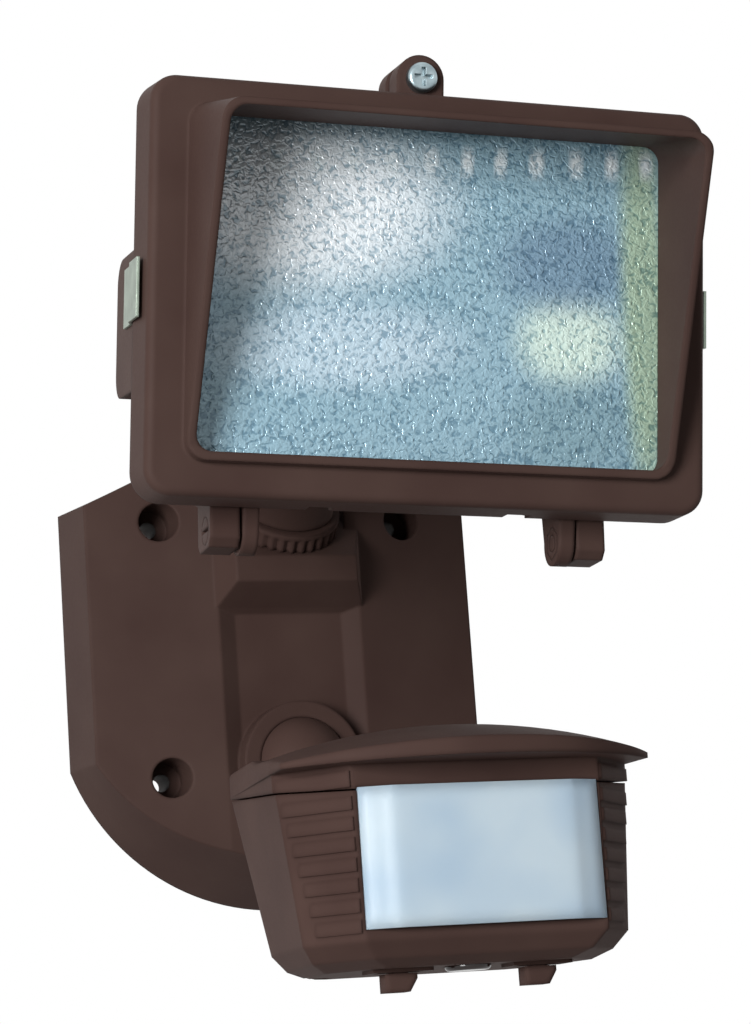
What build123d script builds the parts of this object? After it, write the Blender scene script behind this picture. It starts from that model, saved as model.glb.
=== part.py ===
from build123d import *
import os
from math import cos, sin, radians, sqrt, pi, atan2, degrees

# Motion sensor security light: wall base, lamp head on a yoke, sensor on a ball arm.
# Millimetres. X to the viewer's right, Y into the wall, Z up. The wall plane is y = 0
# and the origin is the middle of the four wall screws.

# ---- driving sizes: wall base ----
base_half = 57.3
base_shoulder_z = 41.5
base_top_z = 55.2
base_top_half = 26.0
base_bottom_z = -70.0
base_arc_r = 61.1
side_draft = 0.12
top_draft = 0.057
bottom_draft = 0.42
arc_growth = 0.2
crown_edge_y = 20.4
crown_y = 27.0
crown_half = 20.4
base_wall = 2.6
hole_pitch_x = 70.0
hole_pitch_z = 70.0
recess_r = 5.4
recess_floor = 12.0
screw_hole_r = 2.4
panel_half = 20.2
panel_top_z = 10.6
panel_depth = 2.2
panel_slope = 5.0
boss_y = 36.0
boss_low_z = 16.3
boss_high_z = 23.2
boss_half = 17.2
boss_foot_half = 21.0
gasket_thick = 3.0
gasket_width = 3.6

# ---- driving sizes: swivel ----
swivel_rise = 45.0
ring_r = 15.0
ring_height = 5.5
ring_teeth = 32
tooth_depth = 1.0
ring_bore_r = 7.4
stem_r = 7.0
hub_r = 13.0
hub_length = 24.0
run_gap = 0.3
shaft_gap = 0.06
head_turn = -4.0
head_tilt = 7.0

# ---- driving sizes: yoke ----
pivot_y = -142.0
pivot_z = 6.5
ear_inner = 41.3
ear_outer = 48.3
ear_r = 4.4
ear_front = 5.4
ear_back = 7.6
arm_thick = 9.0
beam_y = -44.0
beam_z = 50.0
beam_half = 38.0
arm_bend = 15.0
pivot_screw_r = 2.0
pivot_head_r = 3.2
pivot_head_h = 2.2
nut_r = 4.0
nut_depth = 2.0

# ---- driving sizes: lamp head, measured from the middle of the frame's front ----
pivot_back = 22.0
pivot_drop = 54.0
frame_half_x = 67.2
frame_half_z = 48.0
frame_depth = 13.0
frame_draft = 1.0
frame_corner = 6.0
frame_wall = 3.0
frame_face = 4.0
frame_border_x = 10.4
frame_border_z = 8.5
window_mid = 0.8
visor_reach = 30.0
visor_low = 3.2
visor_draft_x = 1.3
visor_draft_z = 3.8
visor_sag = 1.5
visor_wall = 1.8
glass_thick = 3.0
glass_lap_x = 3.0
glass_lap_z = 1.6
glass_gasket_thick = 1.0
seal_gap = 0.3
seal_thick = 1.2
flange_thick = 3.0
housing_inset = 8.0
housing_taper = 5.0
housing_depth = 62.0
housing_wall = 2.5
bulge_proud = 0.3
bulge_low = -23.0
bulge_high = 10.0
bulge_depth = 21.0
lug_r = 5.7
lug_x = -2.4
lug_z = 52.6
lug_front_y = 5.0
lug_thick = 6.4
top_screw_r = 1.9
top_head_r = 3.6
swing_gap = 0.4
foot_lug_gap = 0.7
foot_lug_thick = 3.8
fin_count = 7
fin_pitch = 11.0
fin_thick = 2.0
fin_reach = 5.0
lamp_z = -6.5
lamp_y = 32.0
lamp_r = 5.0
lamp_half = 34.0
reflector_waist = 9.2
reflector_rear = 12.2
hinge_pin_r = 1.2
hinge_z = -46.0
hinge_y = 13.6
hinge_x = 24.0

# ---- driving sizes: sensor ----
ball_y = -27.7
ball_z = -32.5
ball_r = 12.5
ball_gap = 0.08
socket_r = 16.6
socket_open = 74.0
cup_thick = 1.2
arm_drop = 25.0
arm_small_r = 5.5
arm_large_r = 7.4
neck_stand = 6.740444
spigot_r = 6.0
nut_thick = 3.5
sensor_front = -159.0
sensor_back = -90.0
sensor_top = -48.0
sensor_waist = -88.0
sensor_bend = -92.0
sensor_floor = -94.0
sensor_wall = 2.2
seam_back_z = -49.2
seam_slope = 0.08
brim_under = -48.6
roof_r = 138.0
roof_top_z = -37.5
roof_mid_y = -130.0
lens_half = 29.1
lens_fold = 21.8
lens_low = -85.6
lens_high = -53.8
lens_thick = 1.2
lens_bow = 2.6
rib_count = 7
rib_pitch = 4.6
rib_top_z = -57.2
rib_height = 3.0
rib_rise = 0.6
band_z = -51.8
shoulder_z = -42.3
shoulder_end = -118.0
knob_x = 17.1
knob_y = -144.0
knob_travel = 3.0
knob_drop = 4.2
knob_half = 3.8

window_half_x = frame_half_x - frame_border_x
window_half_z = frame_half_z - frame_border_z
housing_half = frame_half_x - housing_inset
housing_rear_half = housing_half - housing_taper
bulge_half = frame_half_x + bulge_proud
foot_lug_outer = ear_inner - foot_lug_gap
foot_lug_inner = foot_lug_outer - foot_lug_thick
arm_reach = (ball_y - sensor_back) / cos(radians(arm_drop)) - neck_stand

os.makedirs("parts", exist_ok=True)


def upright(y):
    """Plane parallel to the wall: x to the right, z up, looking out of the wall."""
    return Plane(origin=(0, y, 0), x_dir=(1, 0, 0), z_dir=(0, -1, 0))


def side_plane(x):
    """Plane square to X, with y and z as its own axes."""
    return Plane(origin=(x, 0, 0), x_dir=(0, 1, 0), z_dir=(1, 0, 0))


def level(z):
    return Plane(origin=(0, 0, z), x_dir=(1, 0, 0), z_dir=(0, 0, 1))


def polygon(points):
    return make_face(Polyline(*points, close=True))


def slab_x(points, low, high):
    """Outline in y and z, carried from x = low to x = high."""
    return extrude(side_plane(low) * polygon(points), high - low)


def slab_z(points, low, high):
    """Outline in x and y, carried from z = low to z = high."""
    return extrude(level(low) * polygon(points), high - low)


def rod_y(x, z, radius, low, high):
    """Cylinder along Y from y = low to y = high."""
    return Pos(x, (low + high) / 2, z) * Rot(90, 0, 0) * Cylinder(radius, abs(high - low))


def rod_x(y, z, radius, low, high):
    return Pos((low + high) / 2, y, z) * Rot(0, 90, 0) * Cylinder(radius, abs(high - low))


def rod_z(x, y, radius, low, high):
    return Pos(x, y, (low + high) / 2) * Cylinder(radius, abs(high - low))


def block(x0, x1, y0, y1, z0, z1):
    return Pos((x0 + x1) / 2, (y0 + y1) / 2, (z0 + z1) / 2) * Box(x1 - x0, y1 - y0, z1 - z0)


def rounded(y, half_x, half_z, radius, middle_z=0.0):
    """Rounded rectangle on a plane parallel to the head's front."""
    return upright(y) * Pos(0, middle_z) * RectangleRounded(2 * half_x, 2 * half_z, radius)


def save(node, solid):
    solid.label = node
    export_step(solid, "parts/" + node + ".step")


# ---- wall base ----
def tub_face(out, inset):
    """Outline of the tub at a distance out from the wall, drawn in by inset."""
    half = base_half - side_draft * out - inset
    shoulder = base_shoulder_z - top_draft * out - inset * 0.8
    top = base_top_z - top_draft * out - inset
    low = base_bottom_z + bottom_draft * out + inset
    radius = base_arc_r + arc_growth * out - inset
    middle = low + radius
    side_z = middle - sqrt(radius ** 2 - half ** 2)
    top_half = base_top_half - inset * 0.2
    sides = Polyline((-half, side_z), (-half, shoulder), (-top_half, top), (top_half, top),
                     (half, shoulder), (half, side_z))
    return upright(-out) * make_face(sides + ThreePointArc((half, side_z), (0, low), (-half, side_z)))


def crown(inset, middle_y, middle_half):
    """Block whose front falls away on both sides of a flat middle."""
    wide = base_half + 20
    fall = (crown_y - crown_edge_y) / (base_half - 2.5 - crown_half)
    edge_y = -(crown_y - inset - fall * (wide - crown_half))
    mid_y = -(crown_y - inset - fall * (middle_half - crown_half))
    points = [(-wide, 5), (-wide, edge_y), (-middle_half, mid_y)]
    if middle_y < -mid_y:
        points += [(-middle_half, -middle_y), (middle_half, -middle_y)]
    points += [(middle_half, mid_y), (wide, edge_y), (wide, 5)]
    return slab_z(points, base_bottom_z - 20, base_top_z + 20)


tub_reach = crown_y + 4
tub = loft([tub_face(0, 0), tub_face(tub_reach, 0)], ruled=True) & crown(0, crown_y, crown_half)
hollow = loft([tub_face(-1, base_wall), tub_face(tub_reach, base_wall)], ruled=True)
hollow = hollow & crown(base_wall, crown_y - panel_depth - base_wall, panel_half + 2)
wall_base = tub - hollow

# sloped seat of the swivel: every point of it has z - y = seat_sum
rise = radians(swivel_rise)
seat_y = -25.1
seat_z = boss_high_z + (boss_y + seat_y) / cos(rise) * sin(rise)
swivel_seat = Pos(0, seat_y, seat_z) * Rot(swivel_rise, 0, 0)
seat_sum = seat_z - seat_y
ring_pad = 12.0
boss_deep = ring_pad / sin(rise)
boss_side = [(boss_y * -1, boss_low_z), (-boss_y, boss_high_z), (base_top_z - seat_sum, base_top_z),
             (base_top_z - seat_sum + boss_deep * 0.25, base_top_z), (-8, seat_sum - 8 - boss_deep),
             (-crown_y + 6, panel_top_z), (-crown_y, panel_top_z)]
boss_splay = (boss_foot_half - boss_half) / (boss_y - crown_y)
boss_plan = [(-boss_half, -boss_y), (boss_half, -boss_y), (boss_foot_half, -crown_y), (boss_foot_half, 0),
             (-boss_foot_half, 0), (-boss_foot_half, -crown_y)]
boss = slab_x(boss_side, -boss_foot_half, boss_foot_half) & slab_z(boss_plan, 0, base_top_z)
boss = boss & (tub + slab_z(boss_plan, 0, base_top_z) - block(-60, 60, -crown_y + 0.01, 5, -60, 70))
cheek = slab_x([(-crown_y, seat_sum - crown_y), (-crown_y, base_top_z), (base_top_z - seat_sum, base_top_z)],
               -boss_foot_half, boss_foot_half) & tub
wall_base = wall_base + boss + (slab_x([(-crown_y, panel_top_z), (-crown_y, seat_sum - crown_y),
                                        (base_top_z - seat_sum, base_top_z), (-2.0, base_top_z),
                                        (-12, seat_sum - 12 - boss_deep), (-20, panel_top_z)],
                                       -boss_foot_half, boss_foot_half) & tub) + cheek
chute = slab_x([(-boss_y - 5, seat_sum - boss_y - 5), (-boss_y - 5, base_top_z + 9),
                (base_top_z + 9 - seat_sum, base_top_z + 9)], -boss_half, boss_half)
wall_base = wall_base - chute

# shallow panel with sloped sides, round at its lower end about the socket
def panel_face(out, half, top):
    bend = ThreePointArc((-half, ball_z), (0, ball_z - half), (half, ball_z))
    return upright(-out) * make_face(bend + Polyline((half, ball_z), (half, top), (-half, top), (-half, ball_z)))


floor_y = crown_y - panel_depth
panel = loft([panel_face(crown_y + 0.5, panel_half + 0.5 * panel_slope / panel_depth, panel_top_z + 0.4),
              panel_face(floor_y, panel_half - panel_slope, panel_top_z - 1.6)], ruled=True)
wall_base = wall_base - (panel - slab_z(boss_plan, panel_top_z + 0.01, base_top_z))

# deep screw recesses, each a tube from the face down to a thick pad on the wall
for x in (-hole_pitch_x / 2, hole_pitch_x / 2):
    for z in (-hole_pitch_z / 2, hole_pitch_z / 2):
        tube = rod_y(x, z, recess_r + base_wall, -crown_y, 0) & tub
        wall_base = wall_base + tube
        wall_base = wall_base - rod_y(x, z, recess_r, -crown_y - 5, -recess_floor)
        wall_base = wall_base - rod_y(x, z, screw_hole_r, -crown_y, 1)

# ball socket: a collar with a spherical seat, open to the back for the cup and its retainer
seat_r = ball_r + ball_gap
cup_r = seat_r + cup_thick
cup_seat_r = cup_r + run_gap
collar_front = ball_y - seat_r * cos(radians(socket_open))
collar_back = -19.0
collar = rod_y(0, ball_z, socket_r, collar_front, collar_back)
wall_base = wall_base + collar
wall_base = wall_base - Pos(0, ball_y, ball_z) * Sphere(seat_r)
wall_base = wall_base - rod_y(0, ball_z, cup_seat_r + run_gap, ball_y + 1.2, collar_back + 1)
retainer_x = socket_r + 5.0
post_r = 3.4
for x in (-retainer_x, retainer_x):
    wall_base = wall_base + rod_y(x, ball_z, post_r, -crown_y + base_wall, collar_back)
    wall_base = wall_base - rod_y(x, ball_z, 1.25, -crown_y + base_wall + 2, collar_back + 1)

# threaded seat of the swivel stem
stem_bore = swivel_seat * Cylinder(stem_r + shaft_gap, 2 * ring_pad + 4)
wall_base = wall_base - stem_bore
save("wall_base", wall_base)

gasket_out = loft([tub_face(0, base_wall + 0.5), tub_face(gasket_thick, base_wall + 0.5)], ruled=True)
gasket_in = loft([tub_face(-1, base_wall + gasket_width), tub_face(gasket_thick + 1, base_wall + gasket_width)],
                 ruled=True)
wall_gasket = gasket_out - gasket_in
for x in (-hole_pitch_x / 2, hole_pitch_x / 2):
    for z in (-hole_pitch_z / 2, hole_pitch_z / 2):
        wall_gasket = wall_gasket - rod_y(x, z, recess_r + base_wall + 0.3, -10, 1)
wall_gasket = wall_gasket - slab_x([(-20, 20), (-20, 60), (5, 60), (5, 20)], -boss_foot_half - 0.3, boss_foot_half + 0.3)
save("wall_gasket", wall_gasket)

retainer_back = -11.5
retainer = rod_y(0, ball_z, socket_r, collar_back, retainer_back)
retainer = retainer + block(-retainer_x, retainer_x, collar_back, collar_back + 2.5, ball_z - 4.5, ball_z + 4.5)
for x in (-retainer_x, retainer_x):
    retainer = retainer + rod_y(x, ball_z, 4.5, collar_back, collar_back + 2.5)
    retainer = retainer - rod_y(x, ball_z, 1.7, collar_back - 1, collar_back + 4)
retainer = retainer - Pos(0, ball_y, ball_z) * Sphere(cup_seat_r)
retainer = retainer - rod_y(0, ball_z, 7.0, collar_back, retainer_back + 1)
save("ball_retainer", retainer)

retainer_screws = []
for x in (-retainer_x, retainer_x):
    screw = rod_y(x, ball_z, 1.2, collar_back - 3.2, collar_back + 2.6) + rod_y(x, ball_z, 2.8, collar_back + 2.5, collar_back + 4.3)
    retainer_screws.append(screw)
save("retainer_screws", Compound(children=retainer_screws))

cup = Pos(0, ball_y, ball_z) * Sphere(cup_r) - Pos(0, ball_y, ball_z) * Sphere(seat_r)
cup = cup & rod_y(0, ball_z, 9.6, ball_y, 0)
cup = cup - rod_y(0, ball_z, 5.0, ball_y, 0)
save("ball_cup", cup)

# ---- lock ring, stem and yoke ----
ring = Pos(0, 0, ring_height / 2) * Cylinder(ring_r, ring_height)
ring = ring - Pos(0, 0, ring_height / 2) * Cylinder(ring_bore_r, ring_height + 2)
ring_rim = 1.6
for k in range(ring_teeth):
    gap = Rot(0, 0, 360 / ring_teeth * k) * Pos(ring_r, 0, (ring_height - ring_rim) / 2 - 0.5)
    ring = ring - gap * Rot(0, 0, 45) * Box(tooth_depth * 1.5, tooth_depth * 1.5, ring_height - ring_rim + 1)
ring = Pos(0, 0, run_gap) * ring
save("lock_ring", swivel_seat * ring)

turn_place = swivel_seat * Rot(0, 0, head_turn) * swivel_seat.inverse()
hub_low = run_gap + ring_height + run_gap
stem_socket = 9.0
stem = Pos(0, 0, hub_low) * extrude(RegularPolygon(hub_r * 0.72, 6), stem_socket)
stem = stem + Pos(0, 0, (hub_low - ring_pad + 1) / 2) * Cylinder(stem_r, hub_low + ring_pad - 1)
stem = stem - Pos(0, 0, 0) * Cylinder(3.2, 80)
save("swivel_stem", turn_place * swivel_seat * stem)

hub = Pos(0, 0, hub_low + hub_length / 2) * Cylinder(hub_r, hub_length)
hub = hub - Pos(0, 0, hub_low - 1) * extrude(RegularPolygon(hub_r * 0.72 + 0.05, 6), stem_socket + 1.05)
hub = hub - Pos(0, 0, hub_low + hub_length / 2) * Cylinder(3.2, hub_length + 10)
hub = swivel_seat * hub

arm_start_y = pivot_y + ear_back
arm_start_z = pivot_z + 12.0
arm_slope = atan2(beam_z - arm_start_z, beam_y - arm_start_y)
lift = arm_thick / 2 / cos(arm_slope)
front_y = pivot_y - ear_front
arm_plan = [(ear_inner, front_y - 1), (ear_outer, front_y - 1), (ear_outer, pivot_y + arm_bend), (beam_half, beam_y),
            (beam_half, beam_y + 9), (beam_half - ear_outer + ear_inner, beam_y + 9), (beam_half - ear_outer + ear_inner, beam_y),
            (ear_inner, pivot_y + arm_bend)]
arm_side = [(front_y, pivot_z), (front_y, pivot_z + 5.2), (front_y + 2.8, pivot_z + 7.2), (arm_start_y, pivot_z + 16.0),
            (arm_start_y + 6, arm_start_z + lift + 2),
            (beam_y + 5, beam_z + lift + 2), (beam_y + 5, beam_z - lift + 2), (arm_start_y, arm_start_z - lift),
            (arm_start_y, pivot_z)]
yoke = None
for s in (-1, 1):
    low = min(s * ear_inner, s * ear_outer)
    high = max(s * ear_inner, s * ear_outer)
    arm = slab_x(arm_side, min(0, s * ear_outer), max(0, s * ear_outer))
    arm = arm & slab_z([(s * x, y) for x, y in arm_plan], pivot_z - 10, beam_z + 20)
    arm = arm + slab_x([(front_y, pivot_z + 1), (front_y, pivot_z - ear_r + 2), (front_y + 2, pivot_z - ear_r),
                        (arm_start_y - 2, pivot_z - ear_r), (arm_start_y, pivot_z - ear_r + 2),
                        (arm_start_y, pivot_z + 1)], low, high)
    arm = arm - rod_x(pivot_y, pivot_z, pivot_screw_r + 0.04, low - 1, high + 1)
    arm = arm - rod_x(pivot_y, pivot_z, pivot_head_r + 0.1, s * (ear_outer - pivot_head_h - 0.05), s * (ear_outer + 1))
    yoke = arm if yoke is None else yoke + arm
beam_deep = 10.0
beam_side = [(beam_y - beam_deep / 2, beam_z - lift - 1.5), (beam_y - beam_deep / 2, beam_z + lift - 1.5),
             (beam_y + beam_deep / 2, beam_z + lift + 2), (beam_y + beam_deep / 2, beam_z - lift + 2)]
yoke = yoke + slab_x(beam_side, -beam_half, beam_half) + hub
yoke = yoke - swivel_seat * Pos(0, 0, hub_low + hub_length / 2) * Cylinder(3.2, hub_length + 30)
yoke = yoke - swivel_seat * Pos(0, 0, hub_low - 1) * extrude(RegularPolygon(hub_r * 0.72 + 0.05, 6), stem_socket + 1.05)
save("yoke", turn_place * yoke)

pivot_screws = []
for s in (-1, 1):
    screw = rod_x(pivot_y, pivot_z, pivot_screw_r, s * foot_lug_inner, s * (ear_outer - pivot_head_h + 0.1))
    head = rod_x(pivot_y, pivot_z, pivot_head_r, s * (ear_outer - pivot_head_h), s * ear_outer)
    head = head - block(s * ear_outer - 1.0, s * ear_outer + 1.0, pivot_y - 5, pivot_y + 5, pivot_z - 0.45, pivot_z + 0.45)
    pivot_screws.append(turn_place * (screw + head))
save("pivot_screws", Compound(children=pivot_screws))

# ---- lamp head: x right, y back, z up from the middle of the frame's front ----
tilt_place = Pos(0, pivot_y, pivot_z) * Rot(head_tilt, 0, 0) * Pos(0, -pivot_back, pivot_drop)
head_place = turn_place * tilt_place


def save_head(node, solid):
    save(node, head_place * solid)


def save_head_group(node, solids):
    save(node, Compound(children=[head_place * s for s in solids]))


frame = loft([rounded(0, frame_half_x, frame_half_z, frame_corner),
              rounded(frame_depth, frame_half_x + frame_draft, frame_half_z + frame_draft, frame_corner + 1)], ruled=True)
front_edges = frame.faces().sort_by(Axis.Y)[0].edges()
frame = fillet(front_edges, 2.0)
frame = frame - extrude(rounded(frame_depth + 1, frame_half_x - frame_wall, frame_half_z - frame_wall, 4),
                        frame_depth + 1 - frame_face)

# visor collar: a drafted tube, cut away on a slant from its top lip to its lower edge
visor_tip = -visor_reach
outer_x = window_half_x + visor_wall
outer_z = window_half_z + visor_wall
tip_mid = window_mid - visor_sag
visor = loft([rounded(1, outer_x, outer_z, 5, window_mid),
              rounded(visor_tip, outer_x - visor_draft_x, outer_z - visor_draft_z, 5, tip_mid)], ruled=True)
visor_in = loft([rounded(frame_face + 1, window_half_x, window_half_z, 4, window_mid),
                 rounded(visor_tip - 1, window_half_x - visor_draft_x, window_half_z - visor_draft_z, 4, tip_mid)], ruled=True)
lip_z = tip_mid + outer_z - visor_draft_z - visor_wall - 1.0
slant = slab_x([(visor_tip - 5, lip_z + 2), (visor_tip, lip_z), (-visor_low, window_mid - window_half_z + 1.5),
                (-visor_low, -outer_z - 5), (visor_tip - 5, -outer_z - 5)], -outer_x - 5, outer_x + 5)
frame = frame + (visor - slant)
frame = frame - visor_in

front_lug = rod_y(lug_x, lug_z, lug_r, lug_front_y, lug_front_y + lug_thick)
front_lug = front_lug + block(lug_x - lug_r, lug_x + lug_r, lug_front_y, lug_front_y + lug_thick, frame_half_z - 2, lug_z)
frame = frame + front_lug
frame = frame - rod_y(lug_x, lug_z, top_screw_r + 0.08, lug_front_y - 5, lug_front_y + lug_thick + 5)

# posts for the glass retainers, and hinge knuckles on the lower back edge
retainer_post_x = 26.0
retainer_post_r = 1.4
retainer_post_z = frame_half_z - frame_wall - retainer_post_r
glass_back = frame_face + glass_gasket_thick + glass_thick
for x in (-retainer_post_x, retainer_post_x):
    for s in (-1, 1):
        frame = frame + rod_y(x, s * retainer_post_z, retainer_post_r, frame_face - 0.5, glass_back)
knuckle = 4.0
tongue = 5.0
for s in (-1, 1):
    for x in (s * hinge_x - tongue / 2 - run_gap - knuckle, s * hinge_x + tongue / 2 + run_gap):
        ear = rod_x(hinge_y, hinge_z, 2.3, x, x + knuckle)
        ear = ear + block(x, x + knuckle, frame_depth - 4, hinge_y, hinge_z - 2.3, hinge_z + 2.3)
        frame = frame + ear - rod_x(hinge_y, hinge_z, hinge_pin_r, x - 1, x + knuckle + 1)
    tongue_slot = block(s * hinge_x - tongue / 2 - run_gap, s * hinge_x + tongue / 2 + run_gap, frame_depth - 4,
                        frame_depth + 2, hinge_z - 6, hinge_z + 6)
    frame = frame - tongue_slot
save_head("front_frame", frame)

glass_half_x = window_half_x + glass_lap_x
glass_half_z = window_half_z + glass_lap_z
glass_gasket = extrude(rounded(frame_face + glass_gasket_thick, glass_half_x, glass_half_z, 3, window_mid), glass_gasket_thick)
glass_gasket = glass_gasket - extrude(rounded(frame_face + glass_gasket_thick + 1, window_half_x + 0.4, window_half_z + 0.4, 4,
                                              window_mid), glass_gasket_thick + 2)
save_head("glass_gasket", glass_gasket)
glass_pane = extrude(rounded(glass_back, glass_half_x, glass_half_z, 3, window_mid), glass_thick)
save_head("glass_pane", glass_pane)

strip_thick = 0.8
glass_retainers = []
for s in (-1, 1):
    inner = window_mid + s * (window_half_z + 0.1)
    outer = s * (frame_half_z - frame_wall - 0.1)
    strip = block(-retainer_post_x - 4, retainer_post_x + 4, glass_back, glass_back + strip_thick, min(inner, outer), max(inner, outer))
    glass_retainers.append(strip)
save_head_group("glass_retainers", glass_retainers)

hinge_pins = []
for s in (-1, 1):
    reach = tongue / 2 + run_gap + knuckle
    hinge_pins.append(rod_x(hinge_y, hinge_z, hinge_pin_r, s * hinge_x - reach, s * hinge_x + reach))
save_head_group("hinge_pins", hinge_pins)

# rear housing: side outline and plan outline together, with fins, end bulges and lugs
seal_back = frame_depth + seal_gap + seal_thick
flange_back = seal_back + flange_thick


def shell_side(inset):
    return [(seal_back - inset, 41.0 - inset), (flange_back + 8, 38.0 - inset), (housing_depth - 8 - inset, 27.0 - inset),
            (housing_depth - inset, 19.0 - inset), (housing_depth - inset, -9.0 + inset),
            (housing_depth - 8 - inset, -17.0 + inset), (30.0, -30.0 + inset), (flange_back, -41.0 + inset),
            (seal_back - inset, -41.0 + inset)]


def shell_plan(inset):
    return [(-housing_half + inset, seal_back - inset), (-housing_half + inset, flange_back + 6),
            (-housing_rear_half + inset, housing_depth - 6 - inset), (-housing_rear_half + 6 + inset, housing_depth - inset),
            (housing_rear_half - 6 - inset, housing_depth - inset), (housing_rear_half - inset, housing_depth - 6 - inset),
            (housing_half - inset, flange_back + 6), (housing_half - inset, seal_back - inset)]


housing = slab_x(shell_side(0), -housing_half, housing_half) & slab_z(shell_plan(0), -50, 50)
bulge_back = seal_back + bulge_depth
bulge = Pos(0, (seal_back + bulge_back) / 2, (bulge_low + bulge_high) / 2) * Box(2 * bulge_half, bulge_depth, bulge_high - bulge_low)
bulge = fillet(bulge.edges().filter_by(Axis.X).group_by(Axis.Y)[-1], 6.0)
housing = housing + bulge
housing = housing + extrude(rounded(flange_back, frame_half_x - 1.2, frame_half_z - 1.2, frame_corner), flange_thick)
for k in range(fin_count):
    x = (k - (fin_count - 1) / 2) * fin_pitch
    fin = [(flange_back, 44.0), (housing_depth - 8, 27.0 + fin_reach), (housing_depth + fin_reach, 19.0 + 2),
           (housing_depth + fin_reach, -9.0), (housing_depth - 8, -17.0), (flange_back + 10, 0)]
    housing = housing + slab_x(fin, x - fin_thick / 2, x + fin_thick / 2)
rear_lug_y = seal_back
rear_lug = rod_y(lug_x, lug_z, lug_r, rear_lug_y, rear_lug_y + lug_thick)
rear_lug = rear_lug + block(lug_x - lug_r, lug_x + lug_r, rear_lug_y, rear_lug_y + lug_thick, frame_half_z - 6, lug_z)
housing = housing + rear_lug
foot_side = [(flange_back - 2.0, -42.0), (pivot_back - 5.4, -pivot_drop), (pivot_back + 5.4, -pivot_drop),
             (flange_back + 16, -33.0)]
for s in (-1, 1):
    low = min(s * foot_lug_inner, s * foot_lug_outer)
    high = max(s * foot_lug_inner, s * foot_lug_outer)
    housing = housing + slab_x(foot_side, low, high) + rod_x(pivot_back, -pivot_drop, 5.5, low, high)
cavity = slab_x(shell_side(housing_wall), -housing_half + housing_wall, housing_half - housing_wall)
cavity = cavity & slab_z(shell_plan(housing_wall), -50, 50)
housing = housing - cavity
holder_room = block(-bulge_half + housing_wall, bulge_half - housing_wall, seal_back - 1, bulge_back - housing_wall,
                    bulge_low + housing_wall, bulge_high - housing_wall)
housing = housing - holder_room
housing = housing - rod_y(lug_x, lug_z, top_screw_r + swing_gap, rear_lug_y - 5, rear_lug_y + lug_thick + 5)
for s in (-1, 1):
    low = min(s * foot_lug_inner, s * foot_lug_outer)
    high = max(s * foot_lug_inner, s * foot_lug_outer)
    housing = housing - rod_x(pivot_back, -pivot_drop, pivot_screw_r + shaft_gap, low - 1, high + 1)
    pocket_mid = s * (foot_lug_inner + nut_depth / 2 - 0.5)
    pocket = Pos(pocket_mid, pivot_back, -pivot_drop) * Rot(0, 90, 0) * extrude(RegularPolygon(nut_r + 0.1, 6), nut_depth / 2 + 0.55, both=True)
    housing = housing - pocket
    nub = block(s * hinge_x - tongue / 2, s * hinge_x + tongue / 2, seal_back, flange_back, hinge_z - 1, -38)
    nub = nub + block(s * hinge_x - tongue / 2, s * hinge_x + tongue / 2, hinge_y - 0.5, seal_back + 1, hinge_z - 2.0, hinge_z + 2.0)
    nub = nub + rod_x(hinge_y, hinge_z, 2.0, s * hinge_x - tongue / 2, s * hinge_x + tongue / 2)
    housing = housing + nub
    housing = housing - rod_x(hinge_y, hinge_z, hinge_pin_r + shaft_gap, s * hinge_x - tongue, s * hinge_x + tongue)
    for x0, x1 in ((s * hinge_x - tongue / 2 - knuckle - 2, s * hinge_x - tongue / 2),
                   (s * hinge_x + tongue / 2, s * hinge_x + tongue / 2 + knuckle + 2)):
        housing = housing - rod_x(hinge_y, hinge_z, 3.2, x0, x1)
save_head("rear_housing", housing)

seal_half_x = housing_half + 3.0
seal = extrude(rounded(seal_back, seal_half_x, 43.0, 4), seal_thick)
seal = seal - extrude(rounded(seal_back + 1, housing_half - 3.2, 37.6, 4), seal_thick + 2)
for s in (-1, 1):
    seal = seal - block(s * hinge_x - 9, s * hinge_x + 9, frame_depth, seal_back + 1, hinge_z - 6, hinge_z + 4.6)
save_head("housing_gasket", seal)

# reflector: a folded trough with a round back and sloped ends
reflector_wall = 0.8
mouth_x = window_half_x - 0.5
mouth_z = window_half_z - 1.5
mouth_y = glass_back + 1.2
rear_x = housing_rear_half - reflector_rear
trough_back = housing_depth - housing_wall - 6.0


def trough(inset):
    front = rounded(mouth_y, mouth_x - inset, mouth_z - inset, 3, window_mid)
    middle = rounded(flange_back + 6, housing_half - reflector_waist - inset, 30.0 - inset, 5)
    back = rounded(trough_back - inset, rear_x - inset, 9.0, 5, 4.0)
    return loft([front, middle], ruled=True) + loft([middle, back], ruled=True)


holder_up = 8.5
holder_half = 7.5
reflector = trough(0) - trough(reflector_wall)
reflector = reflector - extrude(rounded(mouth_y + 0.4, mouth_x - reflector_wall, mouth_z - reflector_wall, 2, window_mid), 2)
end_hole = block(-60, 60, lamp_y - holder_up - 0.4, bulge_back, lamp_z - holder_half - 0.4, lamp_z + holder_half + 0.4)
reflector = reflector - (end_hole - block(-rear_x + 3, rear_x - 3, 0, 80, -60, 60))
save_head("reflector", reflector)

holder_in = lamp_half + 10.0
lampholders = []
for s in (-1, 1):
    low = min(s * holder_in, s * (bulge_half - housing_wall))
    high = max(s * holder_in, s * (bulge_half - housing_wall))
    holder = block(low, high, lamp_y - holder_up, bulge_back - housing_wall, lamp_z - holder_half, lamp_z + holder_half)
    holder = holder - rod_x(lamp_y - 3.0, lamp_z, 4.4, min(s * holder_in - s, s * (holder_in + 8)), max(s * holder_in - s, s * (holder_in + 8)))
    holder = holder - block(min(s * holder_in - s, s * (holder_in + 8)), max(s * holder_in - s, s * (holder_in + 8)),
                            lamp_y - 9, lamp_y - 3.0, lamp_z - 4.4, lamp_z + 4.4)
    lampholders.append(holder)
save_head_group("lampholders", lampholders)
tube_y = lamp_y - 3.0
halogen_tube = rod_x(tube_y, lamp_z, lamp_r, -lamp_half, lamp_half)
save_head("halogen_tube", halogen_tube)
tube_caps = []
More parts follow.
